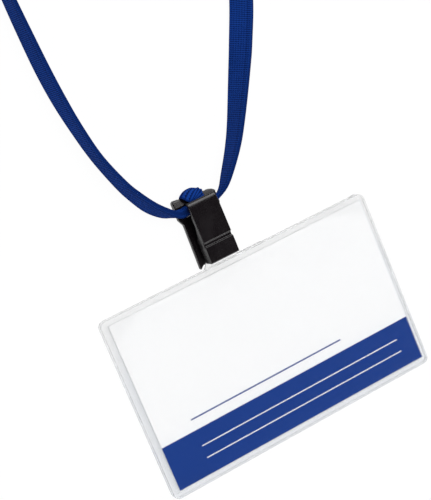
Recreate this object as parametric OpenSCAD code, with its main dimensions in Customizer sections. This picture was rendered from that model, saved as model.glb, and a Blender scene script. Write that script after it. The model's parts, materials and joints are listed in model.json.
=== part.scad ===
// Lanyard badge holder: a clear two-shell card case, a black spring clip and a flat knitted neck strap.
// It lies on its back: +Z is the card's face, +X its long side, and +Y points to the clip.
// The origin is the middle of the case's back face.

/* [Card] */
// Length of the name card
card_w = 91; // [80:1:100]
// Height of the name card
card_h = 55; // [50:1:70]
// Thickness of the name card
card_t = 0.5; // [0.3:0.1:1]

/* [Case] */
// Thickness of the back panel
back_t = 1; // [0.8:0.1:2]
// Thickness of the front window
front_t = 1.2; // [1.2:0.1:2]
// Free height over and under the card in its pocket
pocket_play = 0.3; // [0.2:0.1:0.6]
// Gap between the card's edges and the walls
card_gap = 0.3; // [0.2:0.1:0.8]
// Thickness of the walls along the long sides
wall_long = 1.7; // [1.2:0.1:3]
// Thickness of the wall at the closed end
wall_end = 1.1; // [0.8:0.1:3]
// How far the panels stand past the card at the open end
open_margin = 2.6; // [1:0.1:6]
// Radius of the case's corners
corner_r = 2; // [1:0.1:2.5]
// Length of the thumb slot in the back panel
thumb_l = 26; // [16:1:40]
// Height of the thumb slot in the back panel
thumb_h = 13; // [8:1:20]
// Distance of the thumb slot from the open end
thumb_in = 18; // [10:1:30]
// Width of the stiffening bead on the window
bead_w = 3.4; // [2:0.1:5]
// Height of the stiffening bead
bead_rise = 0.3; // [0.2:0.05:0.6]
// Distance of the bead's middle from the top edge
bead_in = 3.8; // [3:0.1:8]

/* [Tab] */
// Place of the tab along the top edge, from the middle of the case
tab_x = -4.5; // [-20:0.5:20]
// Width of the tab at its root
tab_root_w = 12.6; // [9:0.1:20]
// Thickness of the tab
tab_t = 1; // [0.7:0.1:1.2]
// Diameter of the hole in the tab
hole_d = 3; // [2.4:0.1:3.6]
// Height of the hole above the top edge
hole_rise = 3.9; // [3.6:0.1:6]
// Plastic round the hole
eye_wall = 1.2; // [0.8:0.1:1.4]
// Length of the low ridge along the top edge
ridge_l = 21.5; // [14:0.5:40]
// Height of the low ridge
ridge_h = 0.6; // [0.3:0.1:1]
// Length of the finger nub at the closed end of the top edge
nub_l = 3; // [2:0.1:6]
// Height of the finger nub
nub_h = 0.5; // [0.3:0.1:1]
// Distance of the nub's middle from the closed end
nub_in = 3.2; // [3:0.1:10]

/* [Clip base] */
// Length of the base from its lower edge to the top of the strap bar
base_l = 22.5; // [21:0.5:30]
// Gap between the base and the case's top edge
clip_gap = 0.7; // [0.5:0.1:1.5]
// Thickness of the base plate
base_t = 1.5; // [1:0.1:1.6]
// Width of the base at its lower edge
tip_w = 13.6; // [12:0.1:18]
// Width of the base at its waist
waist_w = 12.6; // [11.5:0.1:18]
// Width of the head that carries the strap bar
head_w = 14.6; // [14:0.1:20]
// Radius of the head's upper left corner
head_r = 0.9; // [0.5:0.1:1.8]
// Radius of the head's upper right corner
head_far_r = 2.2; // [0.5:0.1:2.6]
// How far the head's upper edge falls from left to right
head_fall = 1.2; // [0:0.1:1.4]
// Radius of the base's lower corners
tip_r = 0.2; // [0.1:0.1:0.8]
// Width of the feet at the base's lower corners
foot_w = 1.3; // [1:0.1:2.5]
// How far the feet stand below the base's lower edge
foot_h = 0.9; // [0.4:0.1:1.5]
// Height of the slope from the waist to the head
flare_h = 2; // [1:0.1:4]
// Height of the strap slot
slot_h = 3.6; // [3.6:0.1:5]
// Width of the posts beside the strap slot
post_w = 2.6; // [1.2:0.1:2.8]
// Height of the strap bar
bar_h = 2.5; // [1.4:0.1:2.6]
// Thickness of the strap bar
bar_t = 1.4; // [1:0.1:2]
// Radius of the strap bar's upper edge
bar_r = 0.6; // [0.3:0.1:0.7]
// How far the strap bar's face falls away to its upper edge
bar_fall = 0.6; // [0:0.1:0.7]
// Thickness of the ears that hold the pivot pin
ear_t = 1.2; // [0.8:0.1:1.4]
// Plastic round the pivot pin
ear_wall = 0.8; // [0.6:0.1:1]
// Height of the pivot pin above the base plate
pin_rise = 2.6; // [2.4:0.1:3.5]
// Distance of the pivot pin from the tab's hole
pivot_reach = 4.8; // [4.6:0.1:6]

/* [Clip lever] */
// Width of the lever's thumb plate
lever_w = 9.8; // [9:0.1:11]
// Width of the front jaw
jaw_w = 10; // [9:0.1:12]
// Thickness of the thumb plate
lever_t = 1.5; // [1:0.1:2.5]
// How far the thumb plate stops below the top of the strap bar
lever_short = 1.7; // [0.5:0.1:3]
// Length over which the thumb plate's end curves away
nose_l = 2; // [1:0.1:3]
// How far the thumb plate's face falls away at its end
nose_h = 1; // [0.5:0.1:1.2]
// Width of the groove between thumb plate and jaw
groove_w = 1.3; // [0.8:0.1:2]
// Depth of the groove
groove_d = 0.8; // [0.4:0.1:1]
// Height of the jaw's lower edge above the base's lower edge
jaw_lift = 1.1; // [0.5:0.1:1.5]
// How far the jaw's face falls away to its lower edge
jaw_fall = 0.2; // [0:0.1:2]
// How far the jaw's face lies behind that of the thumb plate
jaw_step = 0.2; // [0:0.05:0.5]
// Thickness of the lever's cheeks
cheek_t = 1.2; // [0.8:0.1:1.5]
// How far the cheeks run on behind the pivot pin
cheek_l = 5.2; // [3:0.1:7]
// How far the peg enters the tab's hole
peg_depth = 0.65; // [0.4:0.05:0.7]
// Angle through which the thumb plate is pressed
press_angle = 8; // [4:1:10]

/* [Pin and spring] */
// Diameter of the pivot pin
pin_d = 1.5; // [1.2:0.1:1.8]
// Depth of the pin's seats in the cheeks
pin_seat = 0.8; // [0.4:0.1:0.8]
// Diameter of the spring wire
wire_d = 0.5; // [0.3:0.05:0.55]
// Gap between the pin and the spring's turns
spring_gap = 0.45; // [0.3:0.05:0.6]
// Full turns of the spring before its last half turn
spring_turns = 3; // [2:1:3]
// Length of the spring's legs
spring_leg = 5; // [3:0.5:7]

/* [Strap] */
// Width of the knitted strap
strap_w = 8; // [6:0.5:8.5]
// Thickness of the knitted strap
strap_t = 1.3; // [1:0.1:1.5]
// Size of the cut along the strap's edges
strap_edge = 0.3; // [0.1:0.05:0.4]
// Thickness of the strap where it is pulled round the bar
turn_t = 1.1; // [0.8:0.1:1.3]
// Height of the strap where it is bunched under the lever
bunch_h = 2.5; // [2:0.1:2.6]
// Thickness of the strap where it is bunched under the lever
bunch_t = 2.6; // [2:0.1:2.8]
// Radius of the coil's innermost turn
coil_r = 38; // [36:0.5:44]
// Distance between neighbouring strands in the coil
coil_pitch = 3; // [2.5:0.1:4]
// Width of the tie round the coil
tie_w = 5; // [3:0.5:10]
// Thickness of the tie
tie_t = 0.5; // [0.4:0.1:0.8]

/* [Clearances] */
// Gap between the tab and the jaws
jaw_gap = 0.15; // [0.1:0.05:0.3]
// Gap between the peg and its hole
peg_gap = 0.3; // [0.2:0.05:0.5]
// Gap between cheeks and ears, and between the ears and what they pass
side_gap = 0.2; // [0.15:0.05:0.3]
// Radial clearance of the pin in the ears
pin_fit = 0.02; // [0.01:0.01:0.05]
// Radial clearance of the pin in the cheeks
cheek_fit = 0.05; // [0.02:0.01:0.1]
// Gap between the strap and what it touches
strap_gap = 0.25; // [0.2:0.05:0.4]

/* [Hidden] */
$fn = 64;
sink = 0.05;

// Case, from the card outwards
pocket_t = card_t + pocket_play;
case_t = back_t + pocket_t + front_t;
case_w = open_margin + card_w + card_gap + wall_end;
case_h = card_h + 2 * (card_gap + wall_long);
pocket_h = card_h + 2 * card_gap;
pocket_end = case_w / 2 - wall_end;
card_end = pocket_end - card_gap;
thumb_x = -case_w / 2 + thumb_in;
bead_r = (bead_w * bead_w / 4 + bead_rise * bead_rise) / (2 * bead_rise);
bead_y = case_h / 2 - bead_in;
tab_y = case_h / 2 + hole_rise;
tab_low = case_t - tab_t;
eye_r = hole_d / 2 + eye_wall;

// Clip, with its own zero at the tab's hole
base_top = tab_low - jaw_gap;
base_low = base_top - base_t;
tip_y = clip_gap - hole_rise;
head_y = tip_y + base_l;
slot_y = head_y - bar_h - slot_h;
bar_low = strap_gap / 2 + turn_t + strap_gap;
bar_high = bar_low + bar_t;
bar_y = head_y - bar_h / 2;
pivot_z = base_top + pin_rise;
ear_r = pin_d / 2 + pin_fit + ear_wall;
cheek_in = lever_w / 2 - cheek_t;
ear_out = cheek_in - side_gap;
ear_in = ear_out - ear_t;
boss_r = pin_d / 2 + cheek_fit + ear_wall;
lever_end = head_y - lever_short;
turn_high = bar_high + strap_gap + turn_t;
press_drop = (lever_end - pivot_reach) * sin(press_angle);
lever_back = max(turn_high + strap_gap + press_drop, pivot_z + ear_r + side_gap);
lever_front = lever_back + lever_t;
jaw_y = tip_y + jaw_lift;
jaw_z = case_t + jaw_gap;
jaw_rear = pivot_reach - ear_r - side_gap - jaw_gap;
groove_high = pivot_reach - side_gap;
groove_low = groove_high - groove_w;
peg_r = hole_d / 2 - peg_gap;

// Spring, wound round the pin between the ears
spring_r = pin_d / 2 + spring_gap + wire_d / 2;
spring_half = spring_turns + 0.5;
spring_pitch = (2 * (ear_in - side_gap) - wire_d) / spring_half;
spring_rings = 12;
leg_y = pivot_reach + spring_leg;
leg_low = base_top + wire_d / 2 + sink;
leg_high = lever_back - wire_d / 2 - sink;

// Strap, laid in the clip's own frame: x, y, height of the middle, lean, width, thickness.
// The strap stands on its edge, and lean tips its top to the right of the way it runs.
coil_z = strap_w / 2 + tie_t + strap_gap;
exit_y = slot_y + strap_gap + strap_edge + bunch_t / 2;
exit_z = base_top + strap_gap / 2 + bunch_h / 2;
// A full-width strap that rests on its lower edge
function on_edge(x, y, lean) =
    [x, y, strap_w / 2 * cos(lean) + strap_t / 2 * sin(lean) + sink, lean, strap_w, strap_t];
left_route = [
    [-strap_w / 2, exit_y, exit_z, 0, bunch_h, bunch_t],
    [-6, exit_y, exit_z, 0, bunch_h, bunch_t],
    [-8, exit_y + 0.7, exit_z + 0.6, 6, 4, 2.2],
    [-10.7, exit_y + 2.1, exit_z + 0.45, 14, 6.8, 1.6],
    on_edge(-14.4, 20.7, 15),
    on_edge(-17.5, 25.5, 12),
    on_edge(-20.2, 30.9, 8),
    on_edge(-23.7, 40.8, 5),
    on_edge(-25.9, 50.9, 7),
    on_edge(-27.4, 60.9, 11),
    on_edge(-28.3, 71, 12),
    on_edge(-28.8, 82, 10),
    on_edge(-29.1, 92, 7),
    on_edge(-29.3, 107, 3),
    on_edge(-29.2, 122, 0),
];
right_route = [
    [strap_w / 2, exit_y, exit_z, 0, bunch_h, bunch_t],
    [6.4, exit_y, exit_z, 0, bunch_h, 1.8],
    [9, exit_y + 1.6, exit_z + 0.5, 4, 4.4, strap_t],
    [12.1, exit_y + 5, exit_z + 0.45, 3, 7, strap_t],
    on_edge(17, 26.7, 8),
    on_edge(21.4, 33.8, 15),
    on_edge(28.9, 47.4, 31),
    on_edge(32.6, 54.4, 38),
    on_edge(38.1, 66, 41),
    on_edge(41.2, 76.5, 28),
    on_edge(38.8, 86, 12),
    on_edge(32.2, 92.2, 4),
    [24, 94.5, coil_z, 0, strap_w, strap_t],
];
coil_mid = [16, 138];
coil_steps = 24;
tie_at = 45;

// The coil is a double spiral: both strands wind in beside each other and meet in an S at the middle.
right_wind = 322.5;
left_wind = right_wind + 90;
coil_start = 270 - right_wind;
function strand_r(wind) = coil_r + 2 * coil_pitch * wind / 360;
function strand_at(wind, turn) =
    coil_mid + strand_r(wind) * [cos(coil_start + turn + wind), sin(coil_start + turn + wind)];
function strand_way(wind, turn) =
    let (a = coil_start + turn + wind, slope = 2 * coil_pitch / (2 * PI * strand_r(wind)))
    unit([-sin(a) + slope * cos(a), cos(a) + slope * sin(a), 0]);
function half_s(turn, part) =
    let (a = coil_start + turn, c = coil_r / 2)
    coil_mid + c * [cos(a), sin(a)] + c * [cos(a - 180 * part), sin(a - 180 * part)];
function winds(total) = let (n = ceil(total / 360 * coil_steps)) [for (i = [0 : n]) total * i / n];
s_steps = coil_steps / 2;
coil_flat = concat(
    [for (w = winds(right_wind)) strand_at(right_wind - w, 0)],
    [for (i = [1 : s_steps]) half_s(0, i / s_steps)],
    [for (i = [s_steps - 1 : -1 : 1]) half_s(180, i / s_steps)],
    [for (w = winds(left_wind)) strand_at(w, 180)]);
coil_route = [for (p = coil_flat) [p[0], p[1], coil_z, 0, strap_w, strap_t]];
coil_in = -strand_way(right_wind, 0);
coil_out = strand_way(left_wind, 180);

// Vectors and smooth routes
function unit(v) = v / norm(v);
function flat(p) = [p[0], p[1], p[2]];
function between(a, b, c, d, u) =
    0.5 * (2 * b + (c - a) * u + (2 * a - 5 * b + 4 * c - d) * u * u + (3 * b - a - 3 * c + d) * u * u * u);
function smooth(route, parts) =
    let (n = len(route) - 1)
    [for (i = [0 : n - 1], k = [0 : parts - 1])
        between(route[max(i - 1, 0)], route[i], route[i + 1], route[min(i + 2, n)], k / parts),
     route[n]];
function way_at(route, i, first, last) =
    let (n = len(route) - 1)
    i == 0 ? first : i == n ? last : unit(flat(route[i + 1]) - flat(route[i - 1]));
function route_length(route) =
    let (n = len(route) - 1, steps = [for (i = [1 : n]) norm(flat(route[i]) - flat(route[i - 1]))])
    steps * [for (s = steps) 1];
function off_segment(p, a, b) =
    let (d = b - a, u = max(0, min(1, (p - a) * d / (d * d)))) norm(p - a - u * d);
// Least distance from any point of a route to the stretches that lie more than skip steps away from it
function least_off(route, skip) =
    let (n = len(route) - 1)
    min([for (i = [0 : n], j = [0 : n - 1])
        if (abs(i - j) > skip) off_segment(route[i], route[j], route[j + 1])]);

// One unbroken solid through rings of equal point counts
module skin(rings) {
    n = len(rings);
    k = len(rings[0]);
    polyhedron(
        points = [for (r = rings, p = r) p],
        faces = concat(
            [[for (j = [0 : k - 1]) j]],
            [for (i = [0 : n - 2], j = [0 : k - 1]) [i * k + j, (i + 1) * k + j, i * k + (j + 1) % k]],
            [for (i = [0 : n - 2], j = [0 : k - 1])
                [i * k + (j + 1) % k, (i + 1) * k + j, (i + 1) * k + (j + 1) % k]],
            [[for (j = [k - 1 : -1 : 0]) (n - 1) * k + j]]));
}

// A flat strap along a route, standing on edge or leaning
module strap(route, first, last) {
    rings = [for (i = [0 : len(route) - 1])
        let (r = route[i],
             t = way_at(route, i, first, last),
             side = unit([t[1], -t[0], 0]),
             tall = cos(r[3]) * [0, 0, 1] + sin(r[3]) * side,
             thin = cos(r[3]) * side - sin(r[3]) * [0, 0, 1],
             a = r[4] / 2,
             b = r[5] / 2)
        [for (c = [[a - strap_edge, b], [strap_edge - a, b], [-a, b - strap_edge], [-a, strap_edge - b],
                   [strap_edge - a, -b], [a - strap_edge, -b], [a, strap_edge - b], [a, b - strap_edge]])
            flat(r) + c[0] * tall + c[1] * thin]];
    skin(rings);
}

// A round wire along a route of points
module wire(points, d, sides) {
    n = len(points) - 1;
    rings = [for (i = [0 : n])
        let (t = unit(points[min(i + 1, n)] - points[max(i - 1, 0)]),
             side = unit(cross(t, abs(t[0]) < 0.9 ? [1, 0, 0] : [0, 1, 0])),
             up = cross(side, t))
        [for (j = [0 : sides - 1])
            points[i] + d / 2 * (cos(360 * j / sides) * side + sin(360 * j / sides) * up)]];
    skin(rings);
}

module rounded_plate(w, h, r) {
    square([w - 2 * r, h], center = true);
    square([w, h - 2 * r], center = true);
    for (x = [-1, 1], y = [-1, 1])
        translate([x * (w / 2 - r), y * (h / 2 - r)]) circle(r);
}

// Moves a shape to the clip's own zero
module at_clip() {
    translate([tab_x, tab_y, 0]) children();
}

// Extrudes a side view, drawn as y and z, to both sides of the clip's middle
module across(w) {
    rotate([90, 0, 90]) linear_extrude(w, center = true) children();
}

module pivot_hole(r, l) {
    translate([0, pivot_reach, pivot_z]) rotate([0, 90, 0]) cylinder(r = r, h = l, center = true);
}

module case_back() {
    color([0.92, 0.95, 0.97, 0.5]) difference() {
        linear_extrude(back_t + pocket_t) rounded_plate(case_w, case_h, corner_r);
        translate([pocket_end - case_w, -pocket_h / 2, back_t]) cube([case_w, pocket_h, case_t]);
        translate([thumb_x + thumb_h / 2, 0, -sink]) cylinder(d = thumb_h, h = case_t);
        translate([thumb_x + thumb_l - thumb_h / 2, 0, -sink]) cylinder(d = thumb_h, h = case_t);
        translate([thumb_x + thumb_h / 2, -thumb_h / 2, -sink]) cube([thumb_l - thumb_h, thumb_h, case_t]);
    }
}

module tab_outline() {
    reach = norm([tab_root_w / 2, hole_rise]);
    touch = acos(eye_r / reach) - atan2(hole_rise, tab_root_w / 2);
    corner = eye_r * [cos(touch), sin(touch)];
    circle(eye_r);
    polygon([[-tab_root_w / 2, -hole_rise - sink], [tab_root_w / 2, -hole_rise - sink],
             corner, [-corner[0], corner[1]]]);
}

// A low step with sloping ends, standing on the case's top edge
module low_step(l, h) {
    polygon([[-l / 2, -sink], [l / 2, -sink], [l / 2 - 2 * h, h], [2 * h - l / 2, h]]);
}

module case_front() {
    bead_l = card_w - 2 * bead_in;
    color([0.92, 0.95, 0.97, 0.5]) {
        translate([0, 0, back_t + pocket_t]) linear_extrude(front_t) rounded_plate(case_w, case_h, corner_r);
        translate([0, case_h / 2, tab_low]) linear_extrude(tab_t) low_step(ridge_l, ridge_h);
        translate([case_w / 2 - nub_in, case_h / 2, tab_low]) linear_extrude(tab_t) low_step(nub_l, nub_h);
        at_clip() translate([0, 0, tab_low]) linear_extrude(tab_t) difference() {
            tab_outline();
            circle(d = hole_d);
        }
        intersection() {
            translate([0, bead_y, case_t + bead_rise - bead_r]) rotate([0, 90, 0])
                cylinder(r = bead_r, h = bead_l, center = true);
            translate([0, bead_y, case_t - sink + bead_r / 2]) cube([bead_l, bead_w, bead_r], center = true);
        }
    }
}

module name_card() {
    color("white") translate([card_end - card_w, -card_h / 2, back_t + pocket_play / 2])
        cube([card_w, card_h, card_t]);
}

module base_outline() {
    foot = [for (a = [180 : 15 : 270]) [tip_r - tip_w / 2, tip_y + tip_r] + tip_r * [cos(a), sin(a)]];
    left = [for (a = [90 : 15 : 180]) [head_r - head_w / 2, head_y - head_r] + head_r * [cos(a), sin(a)]];
    right = [for (a = [0 : 15 : 90])
        [head_w / 2 - head_far_r, head_y - head_fall - head_far_r] + head_far_r * [cos(a), sin(a)]];
    side = concat([[-head_w / 2, slot_y], [-waist_w / 2, slot_y - flare_h]],
                  foot, [[foot_w - tip_w / 2, tip_y + foot_h]]);
    other_side = [for (i = [len(side) - 1 : -1 : 0]) [-side[i][0], side[i][1]]];
    polygon(concat(right, left, side, other_side));
}

// The head from a given height up to its sloping face
module head_side(low) {
    slope = atan2(bar_fall, bar_h - bar_r);
    middle = [head_y - bar_r, bar_high - bar_fall - bar_r];
    edge = [for (a = [0 : 0.2 : 1]) middle + bar_r * [cos(a * (90 - slope)), sin(a * (90 - slope))]];
    polygon(concat([[head_y - bar_h, low], [head_y, low]], edge, [[head_y - bar_h, bar_high]]));
}

module clip_base() {
    slot_w = head_w - 2 * post_w;
    color([0.08, 0.08, 0.09]) at_clip() difference() {
        union() {
            translate([0, 0, base_low]) linear_extrude(base_t) difference() {
                base_outline();
                translate([-slot_w / 2, slot_y]) square([slot_w, slot_h + bar_h]);
            }
            intersection() {
                translate([0, 0, base_low]) linear_extrude(bar_high - base_low) base_outline();
                union() {
                    for (side = [-1, 1])
                        translate([side * (head_w - post_w) / 2, 0, 0]) across(post_w) head_side(base_low);
                    across(head_w - post_w) head_side(bar_low);
                }
            }
            for (side = [-1, 1])
                translate([side * (ear_in + ear_out) / 2, 0, 0]) across(ear_t) {
                    translate([pivot_reach, pivot_z]) circle(ear_r);
                    translate([pivot_reach - ear_r, base_top - sink])
                        square([2 * ear_r, pivot_z - base_top + sink]);
                }
        }
        pivot_hole(pin_d / 2 + pin_fit, lever_w);
    }
}

module lever_plate_side() {
    r = lever_t - nose_h;
    nose = [for (a = [90 : -15 : 0])
        [lever_end - nose_l, lever_front - nose_h] + [nose_l * cos(a), nose_h * sin(a)]];
    under = [for (a = [-30 : -30 : -90]) [lever_end - r, lever_back + r] + r * [cos(a), sin(a)]];
    polygon(concat([[jaw_rear, lever_back], [jaw_rear, lever_front - groove_d],
                    [groove_high, lever_front - groove_d], [groove_high, lever_front]], nose, under));
}

module jaw_side() {
    jaw_front = lever_front - jaw_step;
    polygon([[jaw_y, jaw_z], [jaw_rear, jaw_z], [jaw_rear, lever_front - groove_d],
             [groove_low, lever_front - groove_d], [groove_low, jaw_front], [jaw_y, jaw_front - jaw_fall]]);
}

module cheek_side() {
    translate([pivot_reach, pivot_z]) circle(boss_r);
    polygon([[jaw_rear - sink, jaw_z], [pivot_reach, pivot_z - boss_r], [pivot_reach + boss_r, pivot_z],
             [pivot_reach + cheek_l, lever_back + sink], [jaw_rear - sink, lever_back + sink]]);
}

module clip_lever() {
    color([0.06, 0.06, 0.07]) at_clip() difference() {
        union() {
            across(lever_w) lever_plate_side();
            across(jaw_w) jaw_side();
            for (side = [-1, 1])
                translate([side * (lever_w - cheek_t) / 2, 0, 0]) across(cheek_t) cheek_side();
            translate([0, 0, case_t - peg_depth]) cylinder(r = peg_r, h = peg_depth + jaw_gap + sink);
        }
        pivot_hole(pin_d / 2 + cheek_fit, 2 * (cheek_in + pin_seat));
    }
}

module pivot_pin() {
    color("silver") at_clip() pivot_hole(pin_d / 2, 2 * (cheek_in + pin_seat - cheek_fit));
}

// The wire comes along the base, winds round the pin and leaves along the lever
spring_angle = 360 * spring_half;
spring_ring_count = ceil(spring_half * spring_rings);
spring_coil = [for (i = [0 : spring_ring_count])
    let (u = i / spring_ring_count, a = -90 - spring_angle * u)
    [(u - 0.5) * spring_pitch * spring_half, pivot_reach + spring_r * cos(a), pivot_z + spring_r * sin(a)]];
spring_path = concat(
    [[spring_coil[0][0], leg_y, leg_low]],
    spring_coil,
    [[spring_coil[spring_ring_count][0], leg_y, leg_high]]);

module clip_spring() {
    color("lightgray") at_clip() wire(spring_path, wire_d, 6);
}

module strap_turn() {
    mid_z = (bar_low + bar_high) / 2;
    in_r = bar_t / 2 + strap_gap;
    out_r = in_r + turn_t;
    top_y = head_y - bar_h / 5;
    low_y = slot_y + strap_gap;
    cut = turn_t / 2;
    color([0.1, 0.2, 0.55]) at_clip() across(strap_w) difference() {
        union() {
            translate([top_y, mid_z]) circle(out_r);
            polygon([[top_y, mid_z - out_r], [top_y, mid_z + out_r], [low_y + cut, mid_z + out_r],
                     [low_y, mid_z + out_r - cut], [low_y, mid_z - out_r + 2 * cut],
                     [low_y + 2 * cut, mid_z - out_r]]);
        }
        translate([top_y, mid_z]) circle(in_r);
        translate([bar_y - bar_h / 2 - strap_gap, mid_z - in_r])
            square([top_y - bar_y + bar_h / 2 + strap_gap, 2 * in_r]);
    }
}

module strap_left_run() {
    route = smooth(concat(left_route, [[strand_at(left_wind, 180)[0], strand_at(left_wind, 180)[1],
                                        coil_z, 0, strap_w, strap_t]]), 2);
    color([0.1, 0.2, 0.55]) at_clip() strap(route, [-1, 0, 0], -coil_out);
    echo(left_run_length = route_length(route));
}

module strap_right_run() {
    route = smooth(concat(right_route, [[strand_at(right_wind, 0)[0], strand_at(right_wind, 0)[1],
                                         coil_z, 0, strap_w, strap_t]]), 2);
    color([0.1, 0.2, 0.55]) at_clip() strap(route, [1, 0, 0], coil_in);
    echo(right_run_length = route_length(route));
}

module strap_coil() {
    color([0.1, 0.2, 0.55]) at_clip() strap(coil_route, coil_in, coil_out);
    echo(coil_length = route_length(coil_route));
    echo(coil_least_gap = least_off(coil_flat, coil_steps / 3) - strap_t);
    echo(spring_least_gap = least_off(spring_coil, spring_rings / 2) - wire_d);
}

// A flat band passed round both strands at one place of the coil
module coil_tie() {
    inner_r = strand_r(tie_at - coil_start) * cos(180 / coil_steps);
    outer_r = strand_r(tie_at - coil_start + 180);
    room = strap_t / 2 + strap_gap;
    low = inner_r - room;
    high = outer_r + room;
    top = coil_z + strap_w / 2 + strap_gap;
    color([0.1, 0.1, 0.1]) at_clip() translate(concat(coil_mid, 0)) rotate(tie_at) rotate([90, 0, 0])
        linear_extrude(tie_w, center = true) difference() {
            translate([low - tie_t, 0]) square([high - low + 2 * tie_t, top + tie_t]);
            translate([low, tie_t]) square([high - low, top - tie_t]);
        }
}

case_back();
case_front();
name_card();
clip_base();
clip_lever();
pivot_pin();
clip_spring();
strap_turn();
strap_left_run();
strap_right_run();
strap_coil();
coil_tie();
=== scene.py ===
"""Dresses a lanyard badge holder: clear card case, printed card, black spring clip and knitted neck strap.

Lengths are millimetres in the object's own frame unless a name says otherwise, and MM turns them into metres.
"""

from __future__ import annotations

import json
import logging
import math
from dataclasses import dataclass, field
from enum import Enum
from functools import cache, partial
from typing import Any, Callable

import bmesh
import bpy
import numpy as np
from mathutils import Matrix, Vector

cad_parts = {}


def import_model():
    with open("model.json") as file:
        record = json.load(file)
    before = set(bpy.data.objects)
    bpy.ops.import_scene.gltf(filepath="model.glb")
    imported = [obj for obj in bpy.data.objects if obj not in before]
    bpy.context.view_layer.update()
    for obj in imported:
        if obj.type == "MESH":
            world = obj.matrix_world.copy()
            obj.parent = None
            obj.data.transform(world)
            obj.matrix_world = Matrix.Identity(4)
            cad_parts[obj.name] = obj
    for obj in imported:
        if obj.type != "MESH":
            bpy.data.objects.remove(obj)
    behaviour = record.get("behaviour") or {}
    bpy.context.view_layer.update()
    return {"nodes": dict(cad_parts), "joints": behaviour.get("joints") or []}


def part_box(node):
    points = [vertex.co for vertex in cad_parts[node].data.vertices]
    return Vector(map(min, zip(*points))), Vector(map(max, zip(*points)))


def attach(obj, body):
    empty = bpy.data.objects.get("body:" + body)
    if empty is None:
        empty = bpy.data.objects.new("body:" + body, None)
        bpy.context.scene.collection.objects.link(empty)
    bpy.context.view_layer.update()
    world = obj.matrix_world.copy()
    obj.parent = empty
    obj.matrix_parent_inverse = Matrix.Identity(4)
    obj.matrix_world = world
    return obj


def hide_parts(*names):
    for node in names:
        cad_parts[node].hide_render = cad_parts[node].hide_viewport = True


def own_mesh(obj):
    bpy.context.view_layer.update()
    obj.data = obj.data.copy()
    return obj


log = logging.getLogger("badge_holder")

MM = 0.001
PHOTO_HEIGHT_PX = 500
STRAP_UV = "strap"
# Most of a noise texture's values lie between these
NOISE_LOW, NOISE_HIGH = 0.3, 0.7
# A Mix node's two colour sockets come after those for numbers and vectors
MIX_A, MIX_B = 6, 7
# Degrees from which edges are rounded, and from which they stay sharp on most pieces, the strap and the wire
ROUND_FROM = 35.0
SHARP_FROM, STRAP_SHARP_FROM, WIRE_SHARP_FROM = 32.0, 60.0, 50.0
# How far large faces outweigh small ones in a normal: 50 is not at all, and 100 is the most
FACE_WEIGHT = 90

AddNode = Callable[..., bpy.types.Node]
Point = tuple[float, float]
Triple = tuple[float, float, float]
Table = tuple[tuple[float, ...], ...]


class Slot(Enum):
    """The record's material slots."""

    CASE = "clear_plastic"
    CARD = "card_paper"
    CLIP = "black_plastic"
    STEEL = "pin_steel"
    STRAP = "strap_fabric"
    TIE = "tie_rubber"


class Body(Enum):
    """The bodies that pieces ride on."""

    CASE = "case"
    CARD = "card"
    CLIP = "clip"
    LEVER = "lever"


class Line(Enum):
    """How a ruled line shows, as the sum that adds it to the ink."""

    INKED = "MAXIMUM"
    BARE = "SUBTRACT"


class Join(Enum):
    """What a tool's solid does to a piece."""

    ADD = "UNION"
    CUT = "DIFFERENCE"


def to_linear(hex_code: str) -> tuple[float, float, float, float]:
    """Turns an sRGB hex colour into Blender's linear colour.

    Args:
        hex_code: Six hex digits, such as "1f3a86".

    Returns:
        Red, green, blue and an alpha of 1.
    """
    parts = [int(hex_code[i : i + 2], 16) / 255 for i in (0, 2, 4)]
    red, green, blue = (c / 12.92 if c <= 0.04045 else ((c + 0.055) / 1.055) ** 2.4 for c in parts)
    return red, green, blue, 1.0


def add_node(
    tree: bpy.types.NodeTree,
    kind: str,
    values: dict[str | int, Any] | None = None,
    links: dict[str | int, bpy.types.Node | bpy.types.NodeSocket] | None = None,
    **settings: Any,
) -> bpy.types.Node:
    """Adds one node with its settings, its input values and its input links.

    Args:
        tree: The tree that the node goes into.
        kind: Blender's name for the kind of node.
        values: Input values, by socket name or number.
        links: What feeds the inputs, by socket name or number: a socket, or a node for its first live one.
        **settings: Properties of the node itself, set first because they decide which sockets are live.

    Returns:
        The new node.
    """
    node = tree.nodes.new(kind)
    for name, value in settings.items():
        setattr(node, name, value)
    for key, value in (values or {}).items():
        node.inputs[key].default_value = value
    for key, source in (links or {}).items():
        if isinstance(source, bpy.types.Node):
            source = next(socket for socket in source.outputs if socket.enabled)
        tree.links.new(source, node.inputs[key])
    return node


def mottled(
    add: AddNode, size: float, detail: float, low: float, high: float
) -> tuple[bpy.types.Node, bpy.types.Node]:
    """Adds soft patches that stay in place on the object.

    Args:
        add: Adds a node to the material's tree.
        size: Size of a patch.
        detail: Layers of finer patches on it.
        low: Value where the patches are faintest.
        high: Value where they are strongest.

    Returns:
        The plain patches, and the same patches between the two values.
    """
    place = add("ShaderNodeTexCoord").outputs["Object"]
    patches = add("ShaderNodeTexNoise", {"Scale": 1 / (size * MM), "Detail": detail}, {"Vector": place})
    span = {"From Min": NOISE_LOW, "From Max": NOISE_HIGH, "To Min": low, "To Max": high}
    return patches, add("ShaderNodeMapRange", span, {"Value": patches})


@dataclass(frozen=True)
class Finish:
    """A real material, made as a tree of nodes."""

    name: str

    def surface(self, add: AddNode) -> bpy.types.Node:
        """Adds the finish's own nodes.

        Args:
            add: Adds a node to the material's tree.

        Returns:
            The node that gives the surface.
        """
        raise NotImplementedError

    def build(self) -> bpy.types.Material:
        """Makes the material.

        Returns:
            The material, with its surface in place.
        """
        material = bpy.data.materials.new(self.name)
        material.use_nodes = True
        material.node_tree.nodes.clear()
        add = partial(add_node, material.node_tree)
        add("ShaderNodeOutputMaterial", links={"Surface": self.surface(add)})
        return material


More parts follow.
